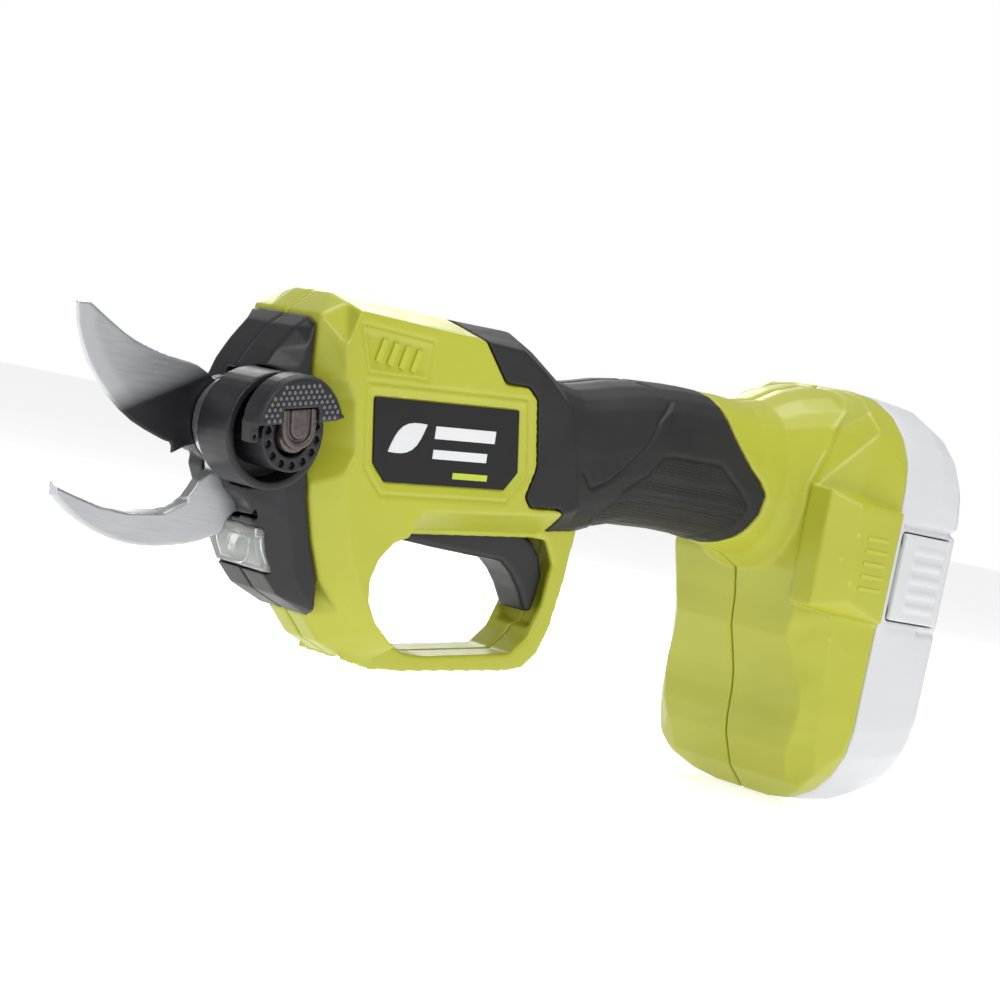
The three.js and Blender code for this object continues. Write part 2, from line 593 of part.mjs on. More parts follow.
function leverOutline(radius) {
  const from = 0.26;
  const to = Math.PI - Math.asin(lever.chord / radius);
  const arc = Array.from({ length: 21 }, (_, i) => {
    const angle = from + ((to - from) * i) / 20;
    return [radius * Math.cos(angle), radius * Math.sin(angle)];
  });
  return onLever([[radius - 2, lever.chord], [radius + 0.6, lever.chord + 0.6], ...arc]);
}
function leverEar() {
  const [from, to] = [-lever.radius, -lever.radius + 2.2];
  const ear = plate(onLever([[from, -2.6], [to, -2.6], [to, lever.chord + 1], [from, lever.chord + 1]]),
    lever.near + 2, lever.far);
  const [[holeX, holeZ]] = onLever([[from + 1.1, -1.2]]);
  return ear.subtract(discY(holeX, holeZ, 0.5, lever.near + 1, lever.near + 3.4, 8));
}
function lockLever() {
  const { near, chamfer } = lever;
  const edge = leverOutline(lever.radius);
  const dome = acrossY([
    [lever.far, edge], [near + chamfer, edge], [near, leverOutline(lever.radius - chamfer)],
  ]);
  const boltSlot = plate(inset(uOutline(boltEnd.half, boltEnd.top), -0.3), near - 1, lever.web + 1);
  return union(dome, leverEar())
    .subtract(union(boltSlot, discY(pivot.x, pivot.z, lever.room, lever.web, lever.far + 1, 40)));
}
function pivotNut() {
  const { x, z } = pivot;
  return discY(x, z, nut.radius, nut.near, nut.far, 6).subtract(discY(x, z, bolt.shank + gap, 0, 30, 24));
}
const cap = { radius: 8.6, rim: 2.4, height: 3.4, chamfer: 1.4 };
function farCap() {
  const { x, z } = pivot;
  const from = noseHalf.side + gap;
  const dome = acrossY([
    [from, circle(x, z, cap.radius)], [from + cap.rim, circle(x, z, cap.radius)],
    [from + cap.height, circle(x, z, cap.radius - cap.chamfer)],
  ]);
  return dome.subtract(discY(x, z, nut.radius + 0.6, from - 1, nut.far + 0.5, 24));
}

// ---- blades ----
function curve(points, steps) {
  const spline = new THREE.SplineCurve(points.map(([x, z]) => new THREE.Vector2(x, z)));
  return spline.getPoints(steps).map((p) => [p.x, p.y]);
}
const cuttingEdge = [[-247.2, 34.6], [-245, 27.8], [-239.2, 19.8], [-229.4, 12.4], [-219, 8.8], [-215.6, 8.3]];
const bladeBack = [[-209, 25], [-213.8, 26.7], [-222, 27.3], [-231, 29.2], [-238, 32.2], [-243.6, 35]];
function movingBlade() {
  const { x, z } = pivot;
  const outline = [
    ...curve(cuttingEdge, 14), [-214.6, 6], [-211.5, 8], [-206, 10], [-200, 20], ...curve(bladeBack, 12),
  ];
  const [y0, y1] = blade.moving;
  return union(plate(outline, y0, y1), discY(x, z, blade.root, y0, y1, 40))
    .subtract(discY(x, z, blade.bore, y0 - 1, y1 + 1, 24));
}
const hookInside = [[-245.2, -4.6], [-241.2, -5.6], [-233, -7.4], [-225, -7.8], [-216, -6.6], [-211, -3.6], [-208.4, 1]];
const hookOutside = [[-199, -9.6], [-206, -12.8], [-214.8, -14.8], [-223, -15.4], [-231, -14.2], [-239, -11.2],
  [-244.6, -7.6]];
function fixedBlade() {
  const { x, z } = pivot;
  const outline = [...curve(hookInside, 14).reverse(), ...curve(hookOutside, 14).reverse(), [-196, 2], [-201, 8]];
  const [y0, y1] = blade.fixed;
  const heel = [[-201, -9.4], [-196.6, -4.4], [-191, -3.6], [-187.6, -1.6], [-187.4, 2.4], [-196, 12], [-206, 6]];
  return union(plate(outline, y0, y1), plate(heel, y0, y1), discY(x, z, blade.root, y0, y1, 40)).subtract(union(
    discY(x, z, blade.bore, y0 - 1, y1 + 1, 24), discY(tang.x, tang.z, tang.screw + gap, y0 - 1, y1 + 1, 12)));
}
function tangScrew() {
  return union(discY(tang.x, tang.z, tang.screw, -4, 9.3, 12), discY(tang.x, tang.z, 2.8, -5.9, -3.5, 6));
}

// ---- gears ----
// Points of a spur gear's outline; an inner ring's teeth point inwards when tip is less than root.
function gearOutline({ teeth, root, tip }, width, phase = 0) {
  const points = [];
  for (let i = 0; i < teeth; i += 1) {
    const middle = phase + (2 * Math.PI * i) / teeth;
    const flank = width / (root + tip);
    const crest = 0.55 * flank;
    [[root, -1.45 * flank], [tip, -crest], [tip, crest], [root, 1.45 * flank]].forEach(([radius, offset]) => {
      points.push([radius * Math.cos(middle + offset), radius * Math.sin(middle + offset)]);
    });
  }
  return points;
}
function gearX(gear, width, x0, x1, bore, phase = 0) {
  const outline = gearOutline(gear, width, phase);
  return alongX([[x0, outline], [x1, outline]]).subtract(discX(0, 0, bore, x0 - 1, x1 + 1, 16));
}
// The face gear that turns the moving blade: a hub, a web and teeth across the rim.
function sectorGear() {
  const { x, z } = pivot;
  const far = boss.floor - gap;
  const hub = discY(x, z, sector.hub, blade.moving[1] + gap, far, 32);
  const web = wedge(sector.from, sector.to, sector.rim, sector.web, far);
  const pitchAngle = 360 / sector.teeth;
  const teeth = Array.from({ length: sector.cut }, (_, k) => (
    sectorTooth(driveTilt + (1.5 - sector.cut + k) * pitchAngle)));
  return union(hub, web, ...teeth).subtract(discY(x, z, bolt.shank + gap, 0, 20, 24));
}
function sectorTooth(degrees) {
  const angle = THREE.MathUtils.degToRad(degrees);
  const [c, s] = [Math.cos(angle), Math.sin(angle)];
  const { half: w, inner, outer, near, far } = sectorTeeth;
  const corners = [[inner, -w], [outer, -w], [outer, w], [inner, w]];
  return plate(corners.map(([r, t]) => [pivot.x + r * c - t * s, pivot.z + r * s + t * c]), near, far);
}

// ---- drive line, drawn along X from the pivot and then tilted ----
const driveLine = new THREE.Group();
driveLine.position.set(pivot.x, 0, pivot.z);
driveLine.rotation.y = -THREE.MathUtils.degToRad(driveTilt);
group.add(driveLine);
function addDrive(name, form, look) {
  const mesh = new THREE.Mesh(geometryOf(form), new THREE.MeshStandardMaterial(look));
  mesh.name = name;
  driveLine.add(mesh);
}
const shaft = 2.2;
function pinionForm() {
  return gearX(pinion, 0.95, pinion.near, pinion.far, shaft + gap)
    .add(tubeX(0, 0, 3.6, shaft + gap, pinion.far - 0.5, 19.6, 20));
}
function gearcaseForm() {
  const { outer, inner, near, far: rear } = gearcase;
  const snout = discX(0, 0, 7, 19, near + 0.5, 20);
  const drum = discX(0, 0, outer, near, rear, 28).subtract(discX(0, 0, inner, near + 2.4, rear + 1, 28));
  return union(snout, drum)
    .subtract(union(discX(0, 0, 5.4, 18, 23.8, 20), discX(0, 0, 3.2, 18, near + 3, 12)));
}
function ringGear() {
  const teeth = gearOutline(planetary.ring, planetary.toothWidth);
  return discX(0, 0, 10.9, 34, 42, 28).subtract(alongX([[33, teeth], [43, teeth]]));
}
const pinRadius = 1.1;
function carrierForm() {
  const pins = [0, 1, 2].map((i) => {
    const angle = (2 * Math.PI * i) / 3;
    return discX(planetary.arm * Math.cos(angle), planetary.arm * Math.sin(angle), pinRadius, 31, 41.6, 12);
  });
  return union(discX(0, 0, 8.3, 29, 32, 24), discX(0, 0, shaft, 13.8, 30, 16), ...pins);
}
function planet(index) {
  const angle = (2 * Math.PI * index) / 3;
  const phase = Math.PI / planetary.small.teeth;
  const outline = gearOutline(planetary.small, planetary.toothWidth, phase + angle)
    .map(([y, z]) => [y + planetary.arm * Math.cos(angle), z + planetary.arm * Math.sin(angle)]);
  const bore = discX(planetary.arm * Math.cos(angle), planetary.arm * Math.sin(angle), pinRadius + gap, 30, 44, 12);
  return alongX([[34.4, outline], [40.6, outline]]).subtract(bore);
}
function motorCan() {
  const { radius, inner, near, far: rear } = motor;
  const vents = Array.from({ length: 4 }, (_, i) => {
    const angle = (Math.PI / 2) * (i + 0.5);
    return discX(7 * Math.cos(angle), 7 * Math.sin(angle), 1.6, near - 1, near + 2, 8);
  });
  return discX(0, 0, radius, near, rear, 28)
    .subtract(union(discX(0, 0, inner, near + 1.2, rear + 1, 28), discX(0, 0, 3, near - 1, near + 2, 16), ...vents));
}
function motorEnd() {
  return union(discX(0, 0, motor.radius - 0.4, motor.far + gap, motor.far + 2, 24),
    discX(0, 0, motor.inner - gap, motor.far - 1.6, motor.far + 1, 24))
    .subtract(discX(0, 0, motor.shaft + gap, motor.far - 3, motor.far + 3, 16));
}
function stator() {
  const slots = Array.from({ length: 6 }, (_, i) => {
    const angle = (Math.PI * i) / 3;
    return discX(8.6 * Math.cos(angle), 8.6 * Math.sin(angle), 1.2, 53, 77, 6);
  });
  return tubeX(0, 0, motor.inner - gap, 6.6, 54, 76, 24).subtract(union(...slots));
}

// ---- trigger group ----
const triggerHalf = 5.5;
const triggerOutline = [
  [-151, -4.2], [-136, -5], [-113.9, -5.6], [-109.7, -8.3], [-106.2, -11.8], [-102.4, -17], [-100.6, -16.8],
  [-99.8, -13.5], [-99.4, -7.1], [-101.2, -3.2], [-104.5, 0.5], [-112, 3.6], [-150.5, 4.3],
];
const magnet = { x: -136, z: 0, radius: 1.5, half: 1.5 };
function triggerForm() {
  const { x, z, pin } = triggerPivot;
  const eased = inset(triggerOutline, 0.8);
  const blank = acrossY([[-triggerHalf, eased], [-triggerHalf + 0.8, triggerOutline],
    [triggerHalf - 0.8, triggerOutline], [triggerHalf, eased]]);
  return union(blank, discY(x, z, 3.8, -triggerHalf, triggerHalf, 24)).subtract(union(
    discY(x, z, pin + gap, -7, 7, 16), discY(magnet.x, magnet.z, magnet.radius + gap, -magnet.half - gap, 7, 12)));
}
function springForm() {
  const { x, low, high, radius, wire } = springSeat;
  const turns = 4;
  class Coil extends THREE.Curve {
    getPoint(t) {
      const angle = 2 * Math.PI * turns * t;
      const height = low + gap + wire + t * (high - low - 2 * gap - 2 * wire);
      return new THREE.Vector3(x + radius * Math.cos(angle), radius * Math.sin(angle), height);
    }
  }
  const section = new THREE.Shape(circle(0, 0, wire, 5).map(([u, v]) => new THREE.Vector2(u, v)));
  return solid(new THREE.ExtrudeGeometry(section, { steps: turns * 9, extrudePath: new Coil() }));
}
function sensorBoard() {
  return union(box(-146, -126, -7, 7, 8.7, 10.1), box(-138, -134, -2, 2, 7.6, 9));
}

// ---- electronics in the handle ----
const boardTop = 20.4;
function controlBoard() {
  const chips = [-90, -83.5, -77].map((x) => box(x, x + 5, -6, 6, boardTop - 0.5, boardTop + 2));
  const plain = box(-94, -67.5, -8.5, 8.5, boardTop - 1.6, boardTop);
  return union(plain, discY(-71, boardTop + 3, 3.2, -5, 5, 12), ...chips);
}
function motorLeads() {
  const route = curve([[-118.2, 28], [-112, 26.4], [-104, 21.5], [-98, 19.8], [-94.4, 19.6]], 12);
  const upper = route.map(([x, z]) => [x, z + 1.3]).reverse();
  return plate([...route, ...upper], -4.2, 4.2);
}
const terminal = { low: 37.3, high: 38.5, from: 1.6, to: 5 };
function terminalHole(side, extra) {
  const [y0, y1] = [terminal.from - extra, terminal.to + extra].map((y) => side * y).sort((a, b) => a - b);
  return box(-63.5 - extra, -47.5, y0, y1, terminal.low - extra, terminal.high + extra);
}
function terminalBlock() {
  return box(-66.5, -59.5, -7.6, 7.6, 23, 40).subtract(union(terminalHole(-1, gap), terminalHole(1, gap)));
}
function terminalBlade(side) {
  const [y0, y1] = [side * terminal.from, side * terminal.to].sort((a, b) => a - b);
  return box(-63.5, -48, y0, y1, terminal.low, terminal.high);
}

// ---- battery ----
const batterySlices = [
  [0.3, 33.8, 56.8, 24], [4, 34, 57, 24], [16, 34, 56.4, 24], [24.5, 33.6, 53.4, 23.6], [battery.back, 31.4, 48.5, 21],
];
function batteryForm(depth) {
  return alongX(batterySlices.map(([x, half, height, corner]) => (
    [x - depth * (x > 16), roundedBox(half - depth, height - depth, corner - depth)])));
}
const latch = { low: -2, high: 22, near: 3.3, far: 23.6, face: 34.9, ribs: [2, 6, 10, 14, 18] };
function batteryCase() {
  const mouth = roundedBox(31.6, 54.6, 21.8);
  const room = union(batteryForm(battery.wall), alongX([[0, mouth], [1, mouth]]));
  const window = box(latch.near - gap, latch.far + gap, -40, 40, latch.low - gap, latch.high + gap);
  const grooves = [latch.low - 2, latch.high + 2].map((z) => (
    box(2.6, 40, -40, 40, z - 0.8, z + 0.8).subtract(batteryForm(1.2))));
  return batteryForm(0).subtract(union(room, window, ...grooves));
}
function batteryCover() {
  const outline = roundedBox(31.3, 54.3, 21.5);
  const stem = alongX([
    [battery.stemTip, stemSection(-1.4)], [battery.stemTip + 1.6, stemSection(0)], [2, stemSection(0)],
  ]);
  const bore = discX(0, battery.stemZ, cell.radius + gap, battery.stemTip + 1.4, 4, 28);
  const notch = (side) => box(0, 3, side * 26.3 - 2.4, side * 26.3 + 2.4, latchArm.low - gap, latchArm.high + gap);
  return union(alongX([[0.6, outline], [2.5, outline]]), stem)
    .subtract(union(bore, ...[-1, 1].flatMap((side) => [terminalHole(side, 0.5), stemSlot(side), notch(side)])));
}
function stemSlot(side) {
  const [y0, y1] = [side * (terminal.from - 0.5), side * 12].sort((a, b) => a - b);
  return box(-60, -47, y0, y1, terminal.low - 0.5, terminal.high + 0.5);
}
const latchArm = { low: 2, high: 18, inner: 26.6, outer: 28.3, tip: -5.4, back: 5.4 };
function latchForm(side) {
  const middle = side * (latch.face - 0.95);
  const face = box(latch.near, latch.far, middle - 0.95, middle + 0.95, latch.low, latch.high);
  const arms = [latchArm.inner, latchArm.outer].map((y) => side * y).sort((a, b) => a - b);
  const arm = box(latchArm.tip, latchArm.back, arms[0], arms[1], latchArm.low, latchArm.high);
  const link = box(latch.near, latchArm.back, side * 30.4 - 3.8, side * 30.4 + 3.8, latchArm.low, latchArm.high);
  const edge = side * latch.face;
  const rib = (z) => box(latch.near + 5, latch.far - 3, edge - 0.5, edge + 0.5, z - 0.6, z + 0.6);
  return union(face, arm, link, ...latch.ribs.map(rib));
}
function baseCell(index) {
  const z = cell.pitch * (index - 1.5);
  return discY(cell.x, z, cell.radius, -cell.length / 2, cell.length / 2, 24);
}
function stemCell() {
  return discX(0, battery.stemZ, cell.radius, battery.stemTip + 1.8, battery.stemTip + 1.8 + cell.length, 24);
}

// ---- the whole tool ----
add('housing_left', housing(-1), lime);
add('housing_right', housing(1), lime);
add('grip_left', grip(-1), rubber);
add('grip_right', grip(1), rubber);
add('label_left', labelPlate(-1), blackPlastic);
add('label_right', labelPlate(1), blackPlastic);
add('nose_left', noseLeft(), blackPlastic);
add('nose_right', noseRight(), blackPlastic);
add('led_lens', lensForm(), clear);
add('led_board', ledBoard(), board);
screws.forEach((place, i) => add(`housing_screw_${i + 1}`, screwForm(place), darkSteel));

add('pivot_cup', pivotCup(), blackPlastic);
add('pivot_spacer', ringY(pivot.x, pivot.z, spacer.radius, bolt.shank + gap, spacer.near, spacer.far), darkSteel);
add('lock_ring', lockRingForm(), blackPlastic);
add('pivot_bolt', pivotBolt(), darkSteel);
add('lock_lever', lockLever(), blackPlastic);
add('pivot_nut', pivotNut(), darkSteel);
add('pivot_cap', farCap(), blackPlastic);
add('fixed_blade', fixedBlade(), brushedSteel);
add('moving_blade', movingBlade(), brushedSteel);
add('blade_screw', tangScrew(), darkSteel);
add('sector_gear', sectorGear(), darkSteel);

addDrive('pinion', pinionForm(), darkSteel);
addDrive('pinion_bearing', tubeX(0, 0, 5.1, shaft + gap, 20, 23.5), brushedSteel);
addDrive('gearcase', gearcaseForm(), aluminium);
addDrive('ring_gear', ringGear(), darkSteel);
addDrive('planet_carrier', carrierForm(), darkSteel);
[0, 1, 2].forEach((i) => addDrive(`planet_gear_${i + 1}`, planet(i), brass));
addDrive('sun_gear', gearX(planetary.small, planetary.toothWidth, 34.6, 41.2, motor.shaft + gap), brass);
addDrive('motor_shaft', discX(0, 0, motor.shaft, 34.4, 83, 16), brushedSteel);
addDrive('rotor_magnet', tubeX(0, 0, 6.2, motor.shaft + gap, 53, 77), aluminium);
addDrive('stator', stator(), copper);
addDrive('motor_can', motorCan(), darkSteel);
addDrive('motor_end', motorEnd(), blackPlastic);

add('trigger', triggerForm(), blackPlastic);
add('trigger_magnet', discY(magnet.x, magnet.z, magnet.radius, -magnet.half, magnet.half, 12), brushedSteel);
add('trigger_pin', discY(triggerPivot.x, triggerPivot.z, triggerPivot.pin, -9.2, 9.2, 16), brushedSteel);
add('trigger_spring', springForm(), brushedSteel);
add('sensor_board', sensorBoard(), board);
add('control_board', controlBoard(), board);
add('motor_leads', motorLeads(), rubber);
add('terminal_block', terminalBlock(), blackPlastic);
add('terminal_left', terminalBlade(-1), brass);
add('terminal_right', terminalBlade(1), brass);

add('battery_case', batteryCase(), frosted);
add('battery_cover', batteryCover(), frosted);
add('battery_latch_left', latchForm(-1), frosted);
add('battery_latch_right', latchForm(1), frosted);
[0, 1, 2, 3].forEach((i) => add(`cell_${i + 1}`, baseCell(i), cellWrap));
add('cell_5', stemCell(), cellWrap);

// The origin moves to the middle of the bounding box's bottom.
group.updateMatrixWorld(true);
const bounds = new THREE.Box3().setFromObject(group);
group.position.set(-(bounds.min.x + bounds.max.x) / 2, -(bounds.min.y + bounds.max.y) / 2, -bounds.min.z);

export default group;
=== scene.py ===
"""Looks for the battery electric pruner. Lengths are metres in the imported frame's own axes."""

import json
import math

import bmesh
import bpy
import numpy as np
from mathutils import Matrix, Vector


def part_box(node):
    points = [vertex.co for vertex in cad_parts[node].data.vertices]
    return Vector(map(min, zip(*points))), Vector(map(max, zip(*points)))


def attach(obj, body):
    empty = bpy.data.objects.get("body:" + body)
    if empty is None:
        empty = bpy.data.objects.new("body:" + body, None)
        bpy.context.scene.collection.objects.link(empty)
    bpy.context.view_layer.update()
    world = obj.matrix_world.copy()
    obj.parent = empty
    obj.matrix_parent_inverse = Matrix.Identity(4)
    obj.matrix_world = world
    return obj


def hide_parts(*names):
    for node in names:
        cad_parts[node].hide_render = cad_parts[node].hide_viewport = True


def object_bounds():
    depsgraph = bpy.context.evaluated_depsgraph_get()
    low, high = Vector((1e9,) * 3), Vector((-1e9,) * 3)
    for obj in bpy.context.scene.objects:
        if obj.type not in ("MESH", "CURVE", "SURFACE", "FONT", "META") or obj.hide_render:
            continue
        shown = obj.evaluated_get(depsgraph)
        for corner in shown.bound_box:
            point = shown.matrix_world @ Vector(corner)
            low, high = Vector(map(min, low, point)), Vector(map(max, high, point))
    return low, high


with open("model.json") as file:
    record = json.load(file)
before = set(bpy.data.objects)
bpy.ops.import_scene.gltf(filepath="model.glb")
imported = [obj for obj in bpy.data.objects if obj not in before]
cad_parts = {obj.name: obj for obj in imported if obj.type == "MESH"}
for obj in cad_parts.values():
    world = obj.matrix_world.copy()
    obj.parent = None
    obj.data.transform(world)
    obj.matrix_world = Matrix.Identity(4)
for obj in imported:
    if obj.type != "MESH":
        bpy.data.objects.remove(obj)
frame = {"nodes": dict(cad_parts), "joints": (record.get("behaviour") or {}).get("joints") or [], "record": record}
cad_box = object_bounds()

MM = 0.001
LOW, HIGH = (Vector(corner) for corner in cad_box)
CENTRE = (LOW + HIGH) / 2
JOINT = {joint["name"]: joint for joint in frame["joints"]}
BODY_OF = {node: body for body, nodes in frame["record"]["behaviour"]["bodies"].items() for node in nodes}
SLOT_OF = {part["node"]: part["material_slot"] for part in frame["record"]["subparts"]}
PIVOT = Vector(JOINT["blade_pivot"]["pos_m"])
RIM_GAP = 0.3  # between the foot's rim and the battery
ORIGIN = Vector((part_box("battery_case")[0].x - RIM_GAP * MM, 0, CENTRE.z))  # middle of the foot's open rim


# ---- mesh helpers ----
def evaluated(obj):
    """The object's mesh with its modifiers applied, as a new mesh."""
    bpy.context.view_layer.update()
    graph = bpy.context.evaluated_depsgraph_get()
    return bpy.data.meshes.new_from_object(obj.evaluated_get(graph))


def link(name, mesh):
    obj = bpy.data.objects.new(name, mesh)
    bpy.context.scene.collection.objects.link(obj)
    return obj


def apply_modifiers(obj):
    mesh = evaluated(obj)
    obj.modifiers.clear()
    obj.data = mesh
    return obj


def refined(node, voxel, smooth):
    """A finer copy of a CAD node, with its edges rounded, that stands for it."""
    piece = link(node + "_moulded", frame["nodes"][node].data.copy())
    piece.data.materials.clear()
    weld = piece.modifiers.new("weld", "WELD")
    weld.merge_threshold = 0.01 * MM
    remesh = piece.modifiers.new("remesh", "REMESH")
    remesh.mode = "VOXEL"
    remesh.voxel_size = voxel * MM
    even = piece.modifiers.new("smooth", "SMOOTH")
    even.factor = 0.5
    even.iterations = smooth
    apply_modifiers(piece)
    piece.data.shade_smooth()
    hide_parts(node)
    return settle(piece, BODY_OF[node])


def settle(piece, body):
    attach(piece, body)
    return piece


def points_of(piece):
    flat = np.empty(len(piece.data.vertices) * 3)
    piece.data.vertices.foreach_get("co", flat)
    return flat.reshape(-1, 3)


def normals_of(piece):
    flat = np.empty(len(piece.data.vertices) * 3)
    piece.data.vertices.foreach_get("normal", flat)
    return flat.reshape(-1, 3)


def move_points(piece, points):
    piece.data.vertices.foreach_set("co", points.reshape(-1))
    piece.data.update()


def at(x, z):
    """A point of the XZ plane, given in millimetres from the middle of the foot's open rim."""
    return ORIGIN.x + x * MM, ORIGIN.z + z * MM


def plan(outline):
    return np.array([at(x, z) for x, z in outline])


def distance_to(points, path, closed=False):
    """Distance in XZ from each point to a path of straight pieces."""
    flat = points[:, [0, 2]]
    best = np.full(len(flat), 1.0)
    ends = np.roll(path, -1, axis=0) if closed else path[1:]
    for start, end in zip(path, ends):
        run = end - start
        share = np.clip((flat - start) @ run / (run @ run), 0, 1)
        best = np.minimum(best, np.linalg.norm(flat - start - share[:, None] * run, axis=1))
    return best


def within(points, outline):
    """True for the points whose XZ place is inside a closed outline."""
    x, z = points[:, 0], points[:, 2]
    found = np.zeros(len(points), bool)
    for (ax, az), (bx, bz) in zip(outline, np.roll(outline, -1, axis=0)):
        crosses = (az > z) != (bz > z)
        with np.errstate(divide="ignore", invalid="ignore"):
            found ^= crosses & (x < (bx - ax) * (z - az) / (bz - az) + ax)
    return found


def groove(distance, half_width):
    """One in the middle of a groove, falling smoothly to nothing at its edges."""
    return np.clip(1 - (distance / (half_width * MM)) ** 2, 0, 1) ** 2


def paint(piece, name, values):
    """Stores one number per vertex for a material to read."""
    layer = piece.data.attributes.new(name, "FLOAT", "POINT")
    layer.data.foreach_set("value", np.asarray(values, np.float32))


# ---- materials ----
def shader(name, color, roughness, metallic=0.0, **sockets):
    """A material with a principled shader whose plain numbers sit on its own sockets."""
    mat = bpy.data.materials.new(name)
    mat.use_nodes = True
    bsdf = mat.node_tree.nodes["Principled BSDF"]
    bsdf.inputs["Base Color"].default_value = (*color, 1)
    bsdf.inputs["Roughness"].default_value = roughness
    bsdf.inputs["Metallic"].default_value = metallic
    for socket, value in sockets.items():
        bsdf.inputs[socket.replace("_", " ")].default_value = value
    return mat


def node(mat, kind, **inputs):
    made = mat.node_tree.nodes.new(kind)
    for key, value in inputs.items():
        made.inputs[key.replace("_", " ")].default_value = value
    return made


def wire(mat, output, target):
    mat.node_tree.links.new(output, target)


def bsdf_of(mat):
    return mat.node_tree.nodes["Principled BSDF"]


def noise(mat, scale, detail=3.0, stretch=None):
    """Noise over the object's own coordinates; stretch scales it along each axis."""
    place = node(mat, "ShaderNodeTexCoord")
    cloud = node(mat, "ShaderNodeTexNoise", Scale=scale, Detail=detail)
    source = place.outputs["Object"]
    if stretch:
        mapping = node(mat, "ShaderNodeMapping")
        mapping.inputs["Scale"].default_value = stretch
        wire(mat, source, mapping.inputs["Vector"])
        source = mapping.outputs["Vector"]
    wire(mat, source, cloud.inputs["Vector"])
    return cloud.outputs["Fac"]


def ramp(mat, value, low, high, color_low, color_high):
    """Blends two colours as value goes from low to high."""
    made = mat.node_tree.nodes.new("ShaderNodeValToRGB")
    made.color_ramp.elements[0].position = low
    made.color_ramp.elements[1].position = high
    made.color_ramp.elements[0].color = (*color_low, 1)
    made.color_ramp.elements[1].color = (*color_high, 1)
    wire(mat, value, made.inputs["Fac"])
    return made.outputs["Color"]


def mix(mat, factor, first, second):
    """Mixes two colours, each a socket or a plain colour."""
    made = mat.node_tree.nodes.new("ShaderNodeMix")
    made.data_type = "RGBA"
    for value, target in ((first, made.inputs[6]), (second, made.inputs[7])):
        if isinstance(value, tuple):
            target.default_value = (*value, 1)
        else:
            wire(mat, value, target)
    wire(mat, factor, made.inputs[0])
    return made.outputs[2]


def bump(mat, height, strength, distance):
    made = node(mat, "ShaderNodeBump", Strength=strength, Distance=distance)
    wire(mat, height, made.inputs["Height"])
    return made


def attribute(mat, name):
    made = mat.node_tree.nodes.new("ShaderNodeAttribute")
    made.attribute_name = name
    return made.outputs["Fac"]


def scaled(color, factor):
    return tuple(min(1.0, channel * factor) for channel in color)


def moulded(name, color, roughness, grain=2600, depth=0.12, spread=0.06, **sockets):
    """Moulded plastic: a fine grain, slow changes of tone and gloss, and a painted highlight that makes the edges
    paler.
    """
    mat = shader(name, color, roughness, **sockets)
    tone = ramp(mat, noise(mat, 38, 4), 0.3, 0.7, scaled(color, 1 - spread), scaled(color, 1 + spread))
    geometry = mat.node_tree.nodes.new("ShaderNodeNewGeometry")
    edge = ramp(mat, geometry.outputs["Pointiness"], 0.53, 0.62, (0, 0, 0), (0.5, 0.5, 0.5))
    # painted highlight: convex edges, found by pointiness, are made paler
    edge_highlight_color = mix(mat, edge, tone, scaled(color, 1.35))
    wire(mat, edge_highlight_color, bsdf_of(mat).inputs["Base Color"])
    gloss = node(mat, "ShaderNodeMapRange", From_Min=0.25, From_Max=0.75,
                 To_Min=roughness - 0.06, To_Max=roughness + 0.08)
    wire(mat, noise(mat, 160, 5), gloss.inputs["Value"])
    wire(mat, gloss.outputs["Result"], bsdf_of(mat).inputs["Roughness"])
    skin = bump(mat, noise(mat, grain, 2), depth, 0.05 * MM)
    wire(mat, skin.outputs["Normal"], bsdf_of(mat).inputs["Normal"])
    return mat


def rubber_material():
    color = (0.014, 0.014, 0.0145)
    mat = shader("rubber_overmould", color, 0.58, Specular_IOR_Level=0.36)
    tone = ramp(mat, noise(mat, 60, 4), 0.3, 0.7, scaled(color, 0.8), scaled(color, 1.25))
    wire(mat, tone, bsdf_of(mat).inputs["Base Color"])
    place = node(mat, "ShaderNodeTexCoord")
    dots = node(mat, "ShaderNodeTexVoronoi", Scale=1150.0, Randomness=0.0)
    wire(mat, place.outputs["Object"], dots.inputs["Vector"])
    round_dot = node(mat, "ShaderNodeMapRange", From_Min=0.15, From_Max=0.5, To_Min=1.0, To_Max=0.0)
    wire(mat, dots.outputs["Distance"], round_dot.inputs["Value"])
    panel = mat.node_tree.nodes.new("ShaderNodeMath")
    panel.operation = "MULTIPLY"
    wire(mat, round_dot.outputs["Result"], panel.inputs[0])
    wire(mat, attribute(mat, "palm"), panel.inputs[1])
    fine = bump(mat, noise(mat, 3000, 2), 0.12, 0.05 * MM)
    studs = bump(mat, panel.outputs["Value"], 1.0, 0.35 * MM)
    wire(mat, fine.outputs["Normal"], studs.inputs["Normal"])
    wire(mat, studs.outputs["Normal"], bsdf_of(mat).inputs["Normal"])
    return mat


